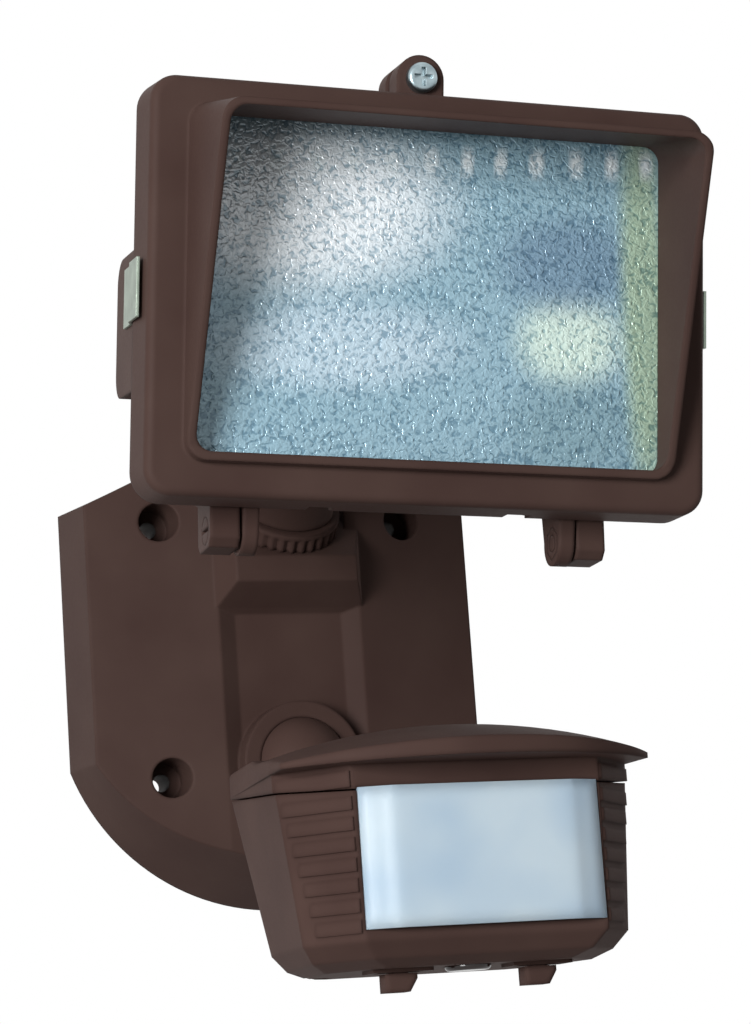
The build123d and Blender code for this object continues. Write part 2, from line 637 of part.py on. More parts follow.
for s in (-1, 1):
    tube_caps.append(rod_x(tube_y, lamp_z, 4.0, s * lamp_half, s * (holder_in + 7.6)))
save_head_group("tube_caps", tube_caps)

clip_half = 6.9
clip_z = -0.6
clip_thick = 0.7
clip_front = 4.0
clip_foot = 9.0
side_clips = []
for s in (-1, 1):
    skin = frame_half_x + frame_draft + run_gap
    foot = bulge_half + 0.05
    leaf = [(s * skin, clip_front), (s * skin, frame_depth), (s * foot, seal_back + 1.5),
            (s * foot, seal_back + clip_foot), (s * (foot + clip_thick), seal_back + clip_foot),
            (s * (foot + clip_thick), seal_back + 1.5), (s * (skin + clip_thick), frame_depth),
            (s * (skin + clip_thick), clip_front)]
    side_clips.append(slab_z(leaf, clip_z - clip_half, clip_z + clip_half))
save_head_group("side_clips", side_clips)

pivot_nuts = []
for s in (-1, 1):
    nut_mid = s * (foot_lug_inner + nut_depth / 2)
    nut = Pos(nut_mid, pivot_back, -pivot_drop) * Rot(0, 90, 0) * extrude(RegularPolygon(nut_r, 6), nut_depth / 2, both=True)
    pivot_nuts.append(nut - rod_x(pivot_back, -pivot_drop, pivot_screw_r + shaft_gap, s * (foot_lug_inner - 1), s * (foot_lug_inner + nut_depth + 1)))
save_head_group("pivot_nuts", pivot_nuts)

screw_end = rear_lug_y + lug_thick - 1.0
top_screw = rod_y(lug_x, lug_z, top_screw_r, lug_front_y - 0.5, screw_end)
pan = rod_y(lug_x, lug_z, top_head_r, lug_front_y - 2.6, lug_front_y - 0.05)
pan = fillet(pan.edges().filter_by(GeomType.CIRCLE).sort_by(Axis.Y)[0], 1.0)
cross = block(lug_x - 2.2, lug_x + 2.2, lug_front_y - 4, lug_front_y - 1.4, lug_z - 0.5, lug_z + 0.5)
cross = cross + block(lug_x - 0.5, lug_x + 0.5, lug_front_y - 4, lug_front_y - 1.4, lug_z - 2.2, lug_z + 2.2)
save_head("top_screw", top_screw + pan - cross)

# ---- sensor ----
def body_outline(z):
    """Half outline of the sensor body at a height, front to back, between its top and its waist."""
    t = (sensor_top - z) / (sensor_top - sensor_waist)
    return [(30.0 - 0.6 * t, sensor_front), (44.0 - 4.0 * t, -143.0 - 3.0 * t), (40.0 - 4.0 * t, sensor_back - 5.0 - 13.0 * t),
            (35.0 - 5.0 * t, sensor_back - 13.0 * t)]


def mirrored(points):
    return points + [(-x, y) for x, y in reversed(points)]


def drawn_in(points, inset):
    """Outline drawn in towards the sensor's middle by about inset."""
    middle_y = roof_mid_y
    moved = []
    for x, y in points:
        moved.append((x - inset, y - inset if y > middle_y else y + inset))
    return moved


top_ring = body_outline(sensor_top)
waist_ring = body_outline(sensor_waist)
bend_ring = [(x - 3.0, y + 3.0 if y < roof_mid_y else y - 2.0) for x, y in waist_ring]
floor_ring = [(x - 7.0, y + 7.0 if y < roof_mid_y else y - 5.0) for x, y in waist_ring]
body = loft([level(sensor_top) * polygon(mirrored(top_ring)), level(sensor_waist) * polygon(mirrored(waist_ring))], ruled=True)
body = body + loft([level(sensor_waist) * polygon(mirrored(waist_ring)), level(sensor_bend) * polygon(mirrored(bend_ring))],
                   ruled=True)
body = body + loft([level(sensor_bend) * polygon(mirrored(bend_ring)), level(sensor_floor) * polygon(mirrored(floor_ring))],
                   ruled=True)
body_in = loft([level(sensor_top + 1) * polygon(mirrored(drawn_in(top_ring, sensor_wall))),
                level(sensor_waist) * polygon(mirrored(drawn_in(waist_ring, sensor_wall)))], ruled=True)
body_in = body_in + loft([level(sensor_waist) * polygon(mirrored(drawn_in(waist_ring, sensor_wall))),
                          level(sensor_floor + sensor_wall) * polygon(mirrored(drawn_in(floor_ring, sensor_wall * 0.6)))],
                         ruled=True)


def seam_z(y):
    return seam_back_z + (y + 93.0) * seam_slope


def rib_plan(z, short):
    """Outline of a raised band on the slanted front corner, ending short of the side."""
    (x0, y0), (x1, y1) = body_outline(z)[0:2]
    length = sqrt((x1 - x0) ** 2 + (y1 - y0) ** 2)
    ux = (x1 - x0) / length
    uy = (y1 - y0) / length
    start = 0.5
    end = length - short
    nx = -uy
    ny = ux
    if nx < 0:
        nx, ny = -nx, -ny
    return [(x0 + ux * start - nx, y0 + uy * start - ny), (x0 + ux * end - nx, y0 + uy * end - ny),
            (x0 + ux * end + nx * rib_rise, y0 + uy * end + ny * rib_rise),
            (x0 + ux * start + nx * rib_rise, y0 + uy * start + ny * rib_rise)]


seam_gap = 0.4
above_seam = slab_x([(-200, seam_z(-200)), (-60, seam_z(-60)), (-60, 0), (-200, 0)], -80, 80)
sensor_body = body - body_in - above_seam
for k in range(rib_count):
    z = rib_top_z - rib_pitch * k
    quad = rib_plan(z, 1.0 + 0.55 * k)
    sensor_body = sensor_body + slab_z(quad, z - rib_height / 2, z + rib_height / 2)
    sensor_body = sensor_body + slab_z([(-x, y) for x, y in quad], z - rib_height / 2, z + rib_height / 2)

window_margin = 0.8
window = block(-lens_half + window_margin, lens_half - window_margin, sensor_front - 5, sensor_front + 5,
               lens_low + window_margin, lens_high - window_margin)
sensor_body = sensor_body - window
lens_seat = block(-lens_half - 0.1, lens_half + 0.1, sensor_front - 5, sensor_front + 0.8, lens_low - 0.1, lens_high + 0.1)
sensor_body = sensor_body - lens_seat

# neck spigot boss on the back wall, in line with the arm
arm_dir = (0, -cos(radians(arm_drop)), -sin(radians(arm_drop)))
arm_plane = Pos(0, ball_y, ball_z) * Rot(90 + arm_drop, 0, 0)
boss_from = arm_reach + 0.3
boss_to = arm_reach + 23.0
neck_boss = arm_plane * Pos(0, 0, (boss_from + boss_to) / 2) * Cylinder(spigot_r + 4.0, boss_to - boss_from)
sensor_body = sensor_body + neck_boss
sensor_body = sensor_body - arm_plane * Pos(0, 0, (boss_from + boss_to) / 2) * Cylinder(spigot_r + 0.05, boss_to - boss_from + 30)

# slider slots with their raised rims, and the photocell seat
neck_w = 4.0
slot_half = neck_w / 2 + knob_travel + 0.3
for s in (-1, 1):
    sensor_body = sensor_body + block(s * knob_x - slot_half - 2, s * knob_x + slot_half + 2, knob_y - 4, knob_y + 4,
                                      sensor_floor - 0.8, sensor_floor + 1)
    sensor_body = sensor_body - block(s * knob_x - slot_half, s * knob_x + slot_half, knob_y - 1.8, knob_y + 1.8,
                                      sensor_floor - 3, sensor_floor + 5)
cell_r = 5.4
sensor_body = sensor_body - rod_z(0, knob_y, cell_r, sensor_floor - 3, sensor_floor + 5)

# screw towers
tower_x = 27.0
tower_y = -114.0
tower_top = -60.0
screw_seat = -74.0
for s in (-1, 1):
    sensor_body = sensor_body + rod_z(s * tower_x, tower_y, 4.6, sensor_floor + 1, tower_top)
    sensor_body = sensor_body - rod_z(s * tower_x, tower_y, 3.1, sensor_floor - 3, screw_seat)
    sensor_body = sensor_body - rod_z(s * tower_x, tower_y, 1.7, sensor_floor - 3, tower_top + 2)
save("sensor_body", sensor_body)

# cover: skirt above the seam, brim reaching past the window, domed roof
dome = Pos(0, roof_mid_y, roof_top_z - roof_r) * Sphere(roof_r)
dome_in = Pos(0, roof_mid_y, roof_top_z - roof_r - sensor_wall) * Sphere(roof_r)
tall_body = slab_z(mirrored(top_ring), -60, -30)
below_seam = slab_x([(-200, seam_z(-200) + seam_gap), (-60, seam_z(-60) + seam_gap), (-60, -110), (-200, -110)], -80, 80)
skirt = tall_body - below_seam
brim_front = -174.0
brim_side = 45.2
brim_back_y = -154.0
brim_line = Polyline((brim_side, brim_back_y), (44.6, -143.0), (40.0, sensor_back - 5.0), (35.0, sensor_back), (-35.0, sensor_back),
                     (-40.0, sensor_back - 5.0), (-44.6, -143.0), (-brim_side, brim_back_y))
brim_arc = ThreePointArc((-brim_side, brim_back_y), (0, brim_front), (brim_side, brim_back_y))
brim = extrude(level(brim_under) * make_face(brim_line + brim_arc), 16)
cover = (skirt + brim) & dome
shoulder = slab_x([(-85, -60), (-85, shoulder_z), (shoulder_end, shoulder_z), (brim_back_y, brim_under), (brim_back_y, -60)],
                  -80, 80) & skirt
shoulder = fillet(shoulder.edges().group_by(Axis.Z)[-1].sort_by(Axis.Y)[1:], 1.6)
cover = cover + shoulder
band = rib_plan(sensor_top, 1.0)
cover = cover + (slab_z(band, band_z - 1.8, band_z + 1.8) - below_seam)
cover = cover + (slab_z([(-x, y) for x, y in band], band_z - 1.8, band_z + 1.8) - below_seam)
cover_in = slab_z(mirrored(drawn_in(top_ring, sensor_wall)), -62, -30) & dome_in
cover = cover - cover_in
cover = cover - block(-lens_half - 0.1, lens_half + 0.1, sensor_front - 3, sensor_front + 6, -70, lens_high + 0.1)
for s in (-1, 1):
    cover = cover + (rod_z(s * tower_x, tower_y, 4.0, tower_top, roof_top_z - 2) & dome)
    cover = cover - rod_z(s * tower_x, tower_y, 1.25, tower_top - 1, -48)
save("sensor_cover", cover)

lens_plan = [(-lens_half, sensor_front + 0.75), (-lens_half, sensor_front + 0.75 - lens_thick), (-lens_fold, sensor_front + 0.75 - lens_thick - lens_bow),
             (lens_fold, sensor_front + 0.75 - lens_thick - lens_bow), (lens_half, sensor_front + 0.75 - lens_thick),
             (lens_half, sensor_front + 0.75), (lens_fold, sensor_front + 0.75 - lens_bow), (-lens_fold, sensor_front + 0.75 - lens_bow)]
sensor_lens = slab_z(lens_plan, lens_low, lens_high)
save("sensor_lens", sensor_lens)

arm = Pos(0, ball_y, ball_z) * Sphere(ball_r)
neck_start = 6.0
arm = arm + arm_plane * Pos(0, 0, (neck_start + arm_reach) / 2) * Cone(arm_small_r, arm_large_r, arm_reach - neck_start)
spigot_end = boss_to + nut_thick + 1.5
arm = arm + arm_plane * Pos(0, 0, (arm_reach - 2 + spigot_end) / 2) * Cylinder(spigot_r, spigot_end - arm_reach + 2)
arm = arm - arm_plane * Pos(0, 0, 30) * Cylinder(2.6, 140)
save("sensor_arm", arm)
arm_nut = arm_plane * Pos(0, 0, boss_to) * extrude(RegularPolygon(9.0, 6), nut_thick)
arm_nut = arm_nut - arm_plane * Pos(0, 0, boss_to) * Cylinder(spigot_r + 0.05, 20)
save("arm_nut", arm_nut)

board_y = -139.0
board = block(-25, 25, board_y, board_y + 1.6, sensor_floor + sensor_wall + 0.1, -58)
for s in (-1, 1):
    board = board - block(s * knob_x - 7, s * knob_x + 7, board_y - 1, board_y + 3, sensor_floor, sensor_floor + 6)
save("circuit_board", board)
eye_z = -68.0
save("detector", rod_y(0, eye_z, 4.6, board_y - 4.4, board_y))
save("relay", block(-20, -6, board_y + 1.6, board_y + 13, -82, -66))
save("capacitor", rod_y(14, -74, 5.0, board_y + 1.6, board_y + 13))

cell = rod_z(0, knob_y, cell_r - 0.05, sensor_floor - 1.2, sensor_floor + 1.6)
cell = fillet(cell.edges().filter_by(GeomType.CIRCLE).sort_by(Axis.Z)[0], 1.0)
save("photocell_window", cell)

cover_screws = []
for s in (-1, 1):
    screw = rod_z(s * tower_x, tower_y, 2.9, screw_seat - 2.0, screw_seat) + rod_z(s * tower_x, tower_y, 1.2, screw_seat - 1, -49)
    cover_screws.append(screw)
save("cover_screws", Compound(children=cover_screws))


def slider(x, flip):
    """Knob under the floor, neck through the slot and foot plate on the floor's inner side."""
    low = sensor_floor - 0.8 - run_gap
    knob = [(x - knob_half, low), (x - knob_half, low - knob_drop), (x + 1.9 * flip, low - knob_drop), (x + knob_half, low - 1.2),
            (x + knob_half, low)]
    top = sensor_floor + sensor_wall + run_gap
    face = Plane(origin=(0, knob_y + 2.4, 0), x_dir=(1, 0, 0), z_dir=(0, -1, 0))
    solid = extrude(face * polygon(knob), 4.8)
    solid = solid + block(x - neck_w / 2, x + neck_w / 2, knob_y - 1.4, knob_y + 1.4, low - 1, top + 1)
    return solid + block(x - 5, x + 5, knob_y - 3, knob_y + 3, top, top + 1.4)


save("range_slider", slider(-knob_x, 1))
save("time_slider", slider(knob_x, 1))
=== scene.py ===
import bpy
import bmesh
import math
from mathutils import Matrix, Vector

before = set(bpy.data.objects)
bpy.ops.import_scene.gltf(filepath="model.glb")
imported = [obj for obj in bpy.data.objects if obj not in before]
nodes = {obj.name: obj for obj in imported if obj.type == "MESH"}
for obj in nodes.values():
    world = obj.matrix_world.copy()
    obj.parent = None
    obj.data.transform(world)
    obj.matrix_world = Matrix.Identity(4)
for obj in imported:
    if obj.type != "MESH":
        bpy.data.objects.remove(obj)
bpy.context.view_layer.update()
print("frame loaded:", len(nodes), "nodes")

mm = 0.001
waveTurn = 0.314  # a wave texture's bands are this far apart at a scale of 1
coatSpan = (0.3, 0.7)  # the noise values between which a coat's clouding turns from dark to light


def linearColour(hexText):
    # sRGB hex to the linear values that the shader wants
    parts = [int(hexText[i:i + 2], 16) / 255 for i in (1, 3, 5)]
    return [c / 12.92 if c <= 0.04045 else ((c + 0.055) / 1.055) ** 2.4 for c in parts] + [1.0]


def addNode(tree, kind, settings=None, links=None):
    # one node with its settings (attributes or input values) and its incoming links
    node = tree.nodes.new(kind)
    for key, value in (settings or {}).items():
        if isinstance(key, int) or key in node.inputs:
            node.inputs[key].default_value = value
        else:
            setattr(node, key, value)
    for key, socket in (links or {}).items():
        tree.links.new(socket, node.inputs[key])
    return node


def newMaterial(name):
    material = bpy.data.materials.new(name)
    material.use_nodes = True
    tree = material.node_tree
    tree.nodes.clear()
    output = tree.nodes.new("ShaderNodeOutputMaterial")
    where = tree.nodes.new("ShaderNodeTexCoord").outputs["Object"]
    return material, tree, output, where


def coatMaterial(name, look):
    # a body colour with soft clouding, fine grain bump and a slightly uneven sheen
    material, tree, output, where = newMaterial(name)
    cloud = addNode(tree, "ShaderNodeTexNoise", {"Scale": 1 / (look["cloudMm"] * mm), "Detail": 3.0}, {"Vector": where})
    grain = addNode(tree, "ShaderNodeTexNoise", {"Scale": 1 / (look["grainMm"] * mm), "Detail": 2.0}, {"Vector": where})
    tone = addNode(tree, "ShaderNodeValToRGB", {}, {"Fac": cloud.outputs["Fac"]})
    tone.color_ramp.elements[0].position = coatSpan[0]
    tone.color_ramp.elements[1].position = coatSpan[1]
    tone.color_ramp.elements[0].color = linearColour(look["darkHex"])
    tone.color_ramp.elements[1].color = linearColour(look["lightHex"])
    sheen = addNode(tree, "ShaderNodeMapRange", {"To Min": look["roughLow"], "To Max": look["roughHigh"]},
                    {"Value": grain.outputs["Fac"]})
    edge = addNode(tree, "ShaderNodeBevel", {"samples": 6, "Radius": look.get("edgeMm", 0.3) * mm})
    bump = addNode(tree, "ShaderNodeBump", {"Strength": look["bump"], "Distance": look["grainDeepMm"] * mm},
                   {"Height": grain.outputs["Fac"], "Normal": edge.outputs["Normal"]})
    skin = addNode(tree, "ShaderNodeBsdfPrincipled", {"IOR": look["ior"], "Metallic": look.get("metal", 0.0),
                                                      "Specular IOR Level": look.get("gloss", 0.5)},
                   {"Base Color": tone.outputs["Color"], "Roughness": sheen.outputs["Result"],
                    "Normal": bump.outputs["Normal"]})
    tree.links.new(skin.outputs["BSDF"], output.inputs["Surface"])
    return material


# polyester powder coat on die-cast aluminium: satin and softly clouded, its orange peel too fine to show from the camera
# this coat and the ABS keep their gloss well under the usual 0.5, to hold back the studio's white
powderCoat = coatMaterial("bronzePowderCoat", {
    "darkHex": "#42312d", "lightHex": "#4b3a35", "cloudMm": 30, "grainMm": 0.9, "grainDeepMm": 0.05,
    "bump": 0.35, "roughLow": 0.5, "roughHigh": 0.62, "ior": 1.5, "gloss": 0.06, "edgeMm": 1.3,
})
# moulded ABS, spark-eroded: a little duller than the coat, its texture too fine to show from the camera
mouldedAbs = coatMaterial("bronzeMouldedAbs", {
    "darkHex": "#453430", "lightHex": "#4e3c37", "cloudMm": 25, "grainMm": 0.6, "grainDeepMm": 0.04,
    "bump": 0.4, "roughLow": 0.5, "roughHigh": 0.62, "ior": 1.5, "gloss": 0.03, "edgeMm": 2.0,
})
# zinc-plated steel: greyish, with soft bright patches
zincPlate = coatMaterial("zincPlatedSteel", {
    "darkHex": "#84949a", "lightHex": "#a9b9be", "cloudMm": 3, "grainMm": 0.4, "grainDeepMm": 0.02,
    "bump": 0.2, "roughLow": 0.26, "roughHigh": 0.42, "ior": 1.5, "metal": 1.0,
})
# passivated spring steel: pale grey-green and dull
springSteel = coatMaterial("passivatedSpringSteel", {
    "darkHex": "#808b80", "lightHex": "#9aa699", "cloudMm": 4, "grainMm": 0.3, "grainDeepMm": 0.02,
    "bump": 0.25, "roughLow": 0.34, "roughHigh": 0.5, "ior": 1.5, "metal": 0.8,
})
# silicone seal: soft black, no sheen
sealRubber = coatMaterial("siliconeSeal", {
    "darkHex": "#1b1a1a", "lightHex": "#242323", "cloudMm": 12, "grainMm": 0.5, "grainDeepMm": 0.03,
    "bump": 0.3, "roughLow": 0.7, "roughHigh": 0.85, "ior": 1.45,
})
# steatite: unglazed white ceramic, chalky
steatite = coatMaterial("steatiteCeramic", {
    "darkHex": "#ddd8cd", "lightHex": "#ece8df", "cloudMm": 6, "grainMm": 0.4, "grainDeepMm": 0.03,
    "bump": 0.3, "roughLow": 0.55, "roughHigh": 0.7, "ior": 1.55,
})
# glass-fibre laminate: green board with a faint grain
boardLaminate = coatMaterial("glassFibreLaminate", {
    "darkHex": "#1f5a34", "lightHex": "#2a6b40", "cloudMm": 8, "grainMm": 0.8, "grainDeepMm": 0.03,
    "bump": 0.3, "roughLow": 0.35, "roughHigh": 0.5, "ior": 1.5,
})
# nylon case: near black, half gloss
nylonCase = coatMaterial("nylonCase", {
    "darkHex": "#1d1d21", "lightHex": "#26262b", "cloudMm": 8, "grainMm": 0.5, "grainDeepMm": 0.02,
    "bump": 0.2, "roughLow": 0.3, "roughHigh": 0.42, "ior": 1.5,
})
# smoked acrylic: dark with a clean gloss
smokedAcrylic = coatMaterial("smokedAcrylic", {
    "darkHex": "#1c1312", "lightHex": "#241816", "cloudMm": 6, "grainMm": 0.8, "grainDeepMm": 0.01,
    "bump": 0.1, "roughLow": 0.08, "roughHigh": 0.14, "ior": 1.49,
})

# bright rolled aluminium, hammered: breaks every reflection into soft blobs
reflectorLook = {"colourHex": "#f2f6f8", "dimpleMm": 5.0, "dimpleDeepMm": 0.5, "bump": 0.6, "rough": 0.2}


def reflectorMaterial(name, look):
    material, tree, output, where = newMaterial(name)
    dimple = addNode(tree, "ShaderNodeTexVoronoi", {"feature": "SMOOTH_F1", "Scale": 1 / (look["dimpleMm"] * mm)},
                     {"Vector": where})
    bump = addNode(tree, "ShaderNodeBump", {"Strength": look["bump"], "Distance": look["dimpleDeepMm"] * mm},
                   {"Height": dimple.outputs["Distance"]})
    skin = addNode(tree, "ShaderNodeBsdfPrincipled", {"Base Color": linearColour(look["colourHex"]), "Metallic": 1.0,
                                                      "Roughness": look["rough"]}, {"Normal": bump.outputs["Normal"]})
    tree.links.new(skin.outputs["BSDF"], output.inputs["Surface"])
    return material


hammeredAluminium = reflectorMaterial("hammeredAluminium", reflectorLook)

# toughened glass rolled with a pebble pattern: silvery, with fine pebbles that break up the light
# the soft patches are painted reflections and painted shade, the glints painted highlights; all are painted on and stay
# fixed to the pane, which is all but opaque
paneLook = {
    "groundHex": "#96b9c9", "pebbleLightHex": "#ffffff", "pebbleShadeHex": "#b4c4cd", "pebbleMm": 1.25, "pebbleDeepMm": 0.5,
    "fineMm": 0.6, "fineDeepMm": 0.06, "rough": 0.14, "clear": 0.04, "silver": 0.12,
    "paintedLightAndShade": [  # centre x and z in mm, half width and half height in mm, colour, strength
        # the pale patches are painted reflections, the dark ones and the band along the top painted shade
        {"at": (-36, 81), "half": (48, 27), "hex": "#f2faff", "strength": 1.0},
        {"at": (-28, 48), "half": (40, 14), "hex": "#cfe3f0", "strength": 0.7},
        {"at": (29, 49), "half": (18, 15), "hex": "#d8eee4", "strength": 1.0},
        {"at": (29, 67), "half": (24, 16), "hex": "#6d8ca6", "strength": 0.75},
        {"at": (30, 29), "half": (24, 16), "hex": "#7d9fab", "strength": 0.7},
        {"at": (-64, 66), "half": (12, 30), "hex": "#9dbdd4", "strength": 0.5},
        {"at": (48, 58), "half": (8, 70), "hex": "#aec6a8", "strength": 0.85},
        {"at": (0, 101), "half": (90, 7), "hex": "#4a5f68", "strength": 0.6},
    ],
    "lightShadeFull": 0.65,  # how far in from its edge a patch of painted light or shade reaches its full strength
    "glintMm": 9.0, "glintAt": 91.0, "glintHigh": 4.4, "glintHex": "#f0fbff",
    "glintFrom": 0.55, "glintGain": 1.2, "glintRagged": 2.2,
    "shadeSpan": (0.34, 0.5),  # the noise values between which the painted shade at the pebbles' feet turns to the painted light on their tops
    "pebbleRagged": 0.9, "pebbleBump": 1.0, "fineBump": 0.8,
}


def paneMaterial(name, look):
    material, tree, output, where = newMaterial(name)
    colour = linearColour(look["groundHex"])
    # each patch of painted reflection or painted shade is laid over the ground colour in turn
    for lightShadePatch in look["paintedLightAndShade"]:
        (atX, atZ), (halfX, halfZ) = lightShadePatch["at"], lightShadePatch["half"]
        place = addNode(tree, "ShaderNodeMapping", {"Location": (-atX / halfX, 0, -atZ / halfZ),
                                                    "Scale": (1 / (halfX * mm), 0, 1 / (halfZ * mm))}, {"Vector": where})
        spot = addNode(tree, "ShaderNodeTexGradient", {"gradient_type": "SPHERICAL"}, {"Vector": place.outputs["Vector"]})
        soft = addNode(tree, "ShaderNodeMapRange", {"interpolation_type": "SMOOTHSTEP", "From Max": look["lightShadeFull"],
                                                    "To Max": lightShadePatch["strength"]}, {"Value": spot.outputs["Fac"]})
        laid = addNode(tree, "ShaderNodeMix", {"data_type": "RGBA", 7: linearColour(lightShadePatch["hex"])},
                       {0: soft.outputs["Result"]})
        if isinstance(colour, list):
            laid.inputs[6].default_value = colour
        else:
            tree.links.new(colour, laid.inputs[6])
        colour = laid.outputs[2]
    # a row of small painted highlights along the top, laid on as the painted patches are
    row = addNode(tree, "ShaderNodeMapping", {"Location": (0, 0, -look["glintAt"] / look["glintHigh"]),
                                              "Scale": (0, 0, 1 / (look["glintHigh"] * mm))}, {"Vector": where})
    band = addNode(tree, "ShaderNodeTexGradient", {"gradient_type": "SPHERICAL"}, {"Vector": row.outputs["Vector"]})
    wave = addNode(tree, "ShaderNodeTexWave", {"wave_type": "BANDS", "bands_direction": "X",
                                               "Scale": waveTurn / (look["glintMm"] * mm),
                                               "Distortion": look["glintRagged"], "Detail": 1.5}, {"Vector": where})
    peak = addNode(tree, "ShaderNodeMapRange", {"From Min": look["glintFrom"], "From Max": 1.0, "To Max": look["glintGain"]},
                   {"Value": wave.outputs["Fac"]})
    glint = addNode(tree, "ShaderNodeMath", {"operation": "MULTIPLY", "use_clamp": True},
                    {0: band.outputs["Fac"], 1: peak.outputs["Result"]})
    glinted = addNode(tree, "ShaderNodeMix", {"data_type": "RGBA", 7: linearColour(look["glintHex"])},
                      {0: glint.outputs[0], 6: colour})
    pebble = addNode(tree, "ShaderNodeTexNoise", {"Scale": 1 / (look["pebbleMm"] * mm), "Detail": 1.5, "Roughness": 0.45,
                                                  "Distortion": look["pebbleRagged"]}, {"Vector": where})
    fine = addNode(tree, "ShaderNodeTexNoise", {"Scale": 1 / (look["fineMm"] * mm), "Detail": 2.0}, {"Vector": where})
    # pebbles painted darker at their feet and lighter on their tops: painted shade and light, multiplied over the
    # colour below
    shade = addNode(tree, "ShaderNodeValToRGB", {}, {"Fac": pebble.outputs["Fac"]})
    shade.color_ramp.elements[0].position = look["shadeSpan"][0]
    shade.color_ramp.elements[1].position = look["shadeSpan"][1]
    shade.color_ramp.elements[0].color = linearColour(look["pebbleShadeHex"])
    shade.color_ramp.elements[1].color = linearColour(look["pebbleLightHex"])
    mixed = addNode(tree, "ShaderNodeMix", {"data_type": "RGBA", "blend_type": "MULTIPLY", 0: 1.0},
                    {6: glinted.outputs[2], 7: shade.outputs["Color"]})
    pebbleBump = addNode(tree, "ShaderNodeBump", {"Strength": look["pebbleBump"], "Distance": look["pebbleDeepMm"] * mm},
                         {"Height": pebble.outputs["Fac"]})
    bump = addNode(tree, "ShaderNodeBump", {"Strength": look["fineBump"], "Distance": look["fineDeepMm"] * mm},
                   {"Height": fine.outputs["Fac"], "Normal": pebbleBump.outputs["Normal"]})
    skin = addNode(tree, "ShaderNodeBsdfPrincipled", {"Transmission Weight": look["clear"], "IOR": 1.5,
                                                      "Roughness": look["rough"], "Metallic": look["silver"]},
                   {"Base Color": mixed.outputs[2], "Normal": bump.outputs["Normal"]})
    tree.links.new(skin.outputs["BSDF"], output.inputs["Surface"])
    return material


pebbledGlass = paneMaterial("pebbledGlass", paneLook)

# fused quartz: clear with a faint milky wall
quartzLook = {"tintHex": "#f4f6f6", "ior": 1.46, "rough": 0.12, "roughSpread": (0.6, 1.6), "hazeMm": 4, "clear": 0.7}


def quartzMaterial(name, look):
    material, tree, output, where = newMaterial(name)
    haze = addNode(tree, "ShaderNodeTexNoise", {"Scale": 1 / (look["hazeMm"] * mm), "Detail": 2.0}, {"Vector": where})
    least, most = look["roughSpread"]
    sheen = addNode(tree, "ShaderNodeMapRange", {"To Min": look["rough"] * least, "To Max": look["rough"] * most},
                    {"Value": haze.outputs["Fac"]})
    skin = addNode(tree, "ShaderNodeBsdfPrincipled", {"Base Color": linearColour(look["tintHex"]), "IOR": look["ior"],
                                                      "Transmission Weight": look["clear"]},
                   {"Roughness": sheen.outputs["Result"]})
    tree.links.new(skin.outputs["BSDF"], output.inputs["Surface"])
    return material


fusedQuartz = quartzMaterial("fusedQuartz", quartzLook)

# thin polyethylene lens sheet: milky, with a soft gloss; its grooves are drawn coarse and are still too faint to show
lensLook = {
    "coolHex": "#a9bfd1", "warmHex": "#bfcfd9", "cloudMm": 22, "cloudSpan": (0.35, 0.65),
    "grooveMm": 6.908, "grooveDeepMm": 0.03, "bump": 0.15, "rough": 0.32, "milk": 0.6, "milkMm": 5.0,
    "foldMm": 5.0,  # softens the folds in shading only
}


def lensMaterial(name, look):
    material, tree, output, where = newMaterial(name)
    cloud = addNode(tree, "ShaderNodeTexNoise", {"Scale": 1 / (look["cloudMm"] * mm), "Detail": 1.5}, {"Vector": where})
    tone = addNode(tree, "ShaderNodeValToRGB", {}, {"Fac": cloud.outputs["Fac"]})
    tone.color_ramp.elements[0].position = look["cloudSpan"][0]
    tone.color_ramp.elements[1].position = look["cloudSpan"][1]
    tone.color_ramp.elements[0].color = linearColour(look["coolHex"])
    tone.color_ramp.elements[1].color = linearColour(look["warmHex"])
    groove = addNode(tree, "ShaderNodeTexWave", {"wave_type": "BANDS", "bands_direction": "Z",
                                                 "Scale": waveTurn / (look["grooveMm"] * mm), "Distortion": 0.0},
                     {"Vector": where})
    fold = addNode(tree, "ShaderNodeBevel", {"samples": 8, "Radius": look["foldMm"] * mm})
    bump = addNode(tree, "ShaderNodeBump", {"Strength": look["bump"], "Distance": look["grooveDeepMm"] * mm},
                   {"Height": groove.outputs["Fac"], "Normal": fold.outputs["Normal"]})
    depth = look["milkMm"] * mm
    skin = addNode(tree, "ShaderNodeBsdfPrincipled", {"Roughness": look["rough"], "IOR": 1.5,
                                                      "Subsurface Weight": look["milk"],
                                                      "Subsurface Radius": (depth, depth, depth)},
                   {"Base Color": tone.outputs["Color"], "Normal": bump.outputs["Normal"]})
    tree.links.new(skin.outputs["BSDF"], output.inputs["Surface"])
    return material


milkyPolyethylene = lensMaterial("milkyPolyethylene", lensLook)
print("materials made")

finishOfNode = {
    "wall_base": powderCoat, "wall_gasket": sealRubber, "ball_retainer": zincPlate, "retainer_screws": zincPlate,
    "lock_ring": mouldedAbs, "swivel_stem": zincPlate, "yoke": powderCoat, "pivot_screws": powderCoat,
    "rear_housing": powderCoat, "housing_gasket": sealRubber, "reflector": hammeredAluminium, "lampholders": steatite,
    "halogen_tube": fusedQuartz, "tube_caps": steatite, "side_clips": springSteel,
    "pivot_nuts": powderCoat,  # coated like their screws
    "front_frame": powderCoat, "glass_gasket": sealRubber, "glass_pane": pebbledGlass, "glass_retainers": springSteel,
    "hinge_pins": zincPlate, "top_screw": zincPlate, "ball_cup": zincPlate, "sensor_arm": mouldedAbs,
    "sensor_body": mouldedAbs, "sensor_cover": mouldedAbs, "sensor_lens": milkyPolyethylene, "arm_nut": nylonCase,
    "circuit_board": boardLaminate, "detector": zincPlate, "relay": nylonCase, "capacitor": nylonCase,
    "photocell_window": smokedAcrylic, "cover_screws": zincPlate, "range_slider": mouldedAbs, "time_slider": mouldedAbs,
}
for nodeName, finish in finishOfNode.items():
    mesh = nodes[nodeName].data
    mesh.materials.clear()
    mesh.materials.append(finish)
print("frame dressed")

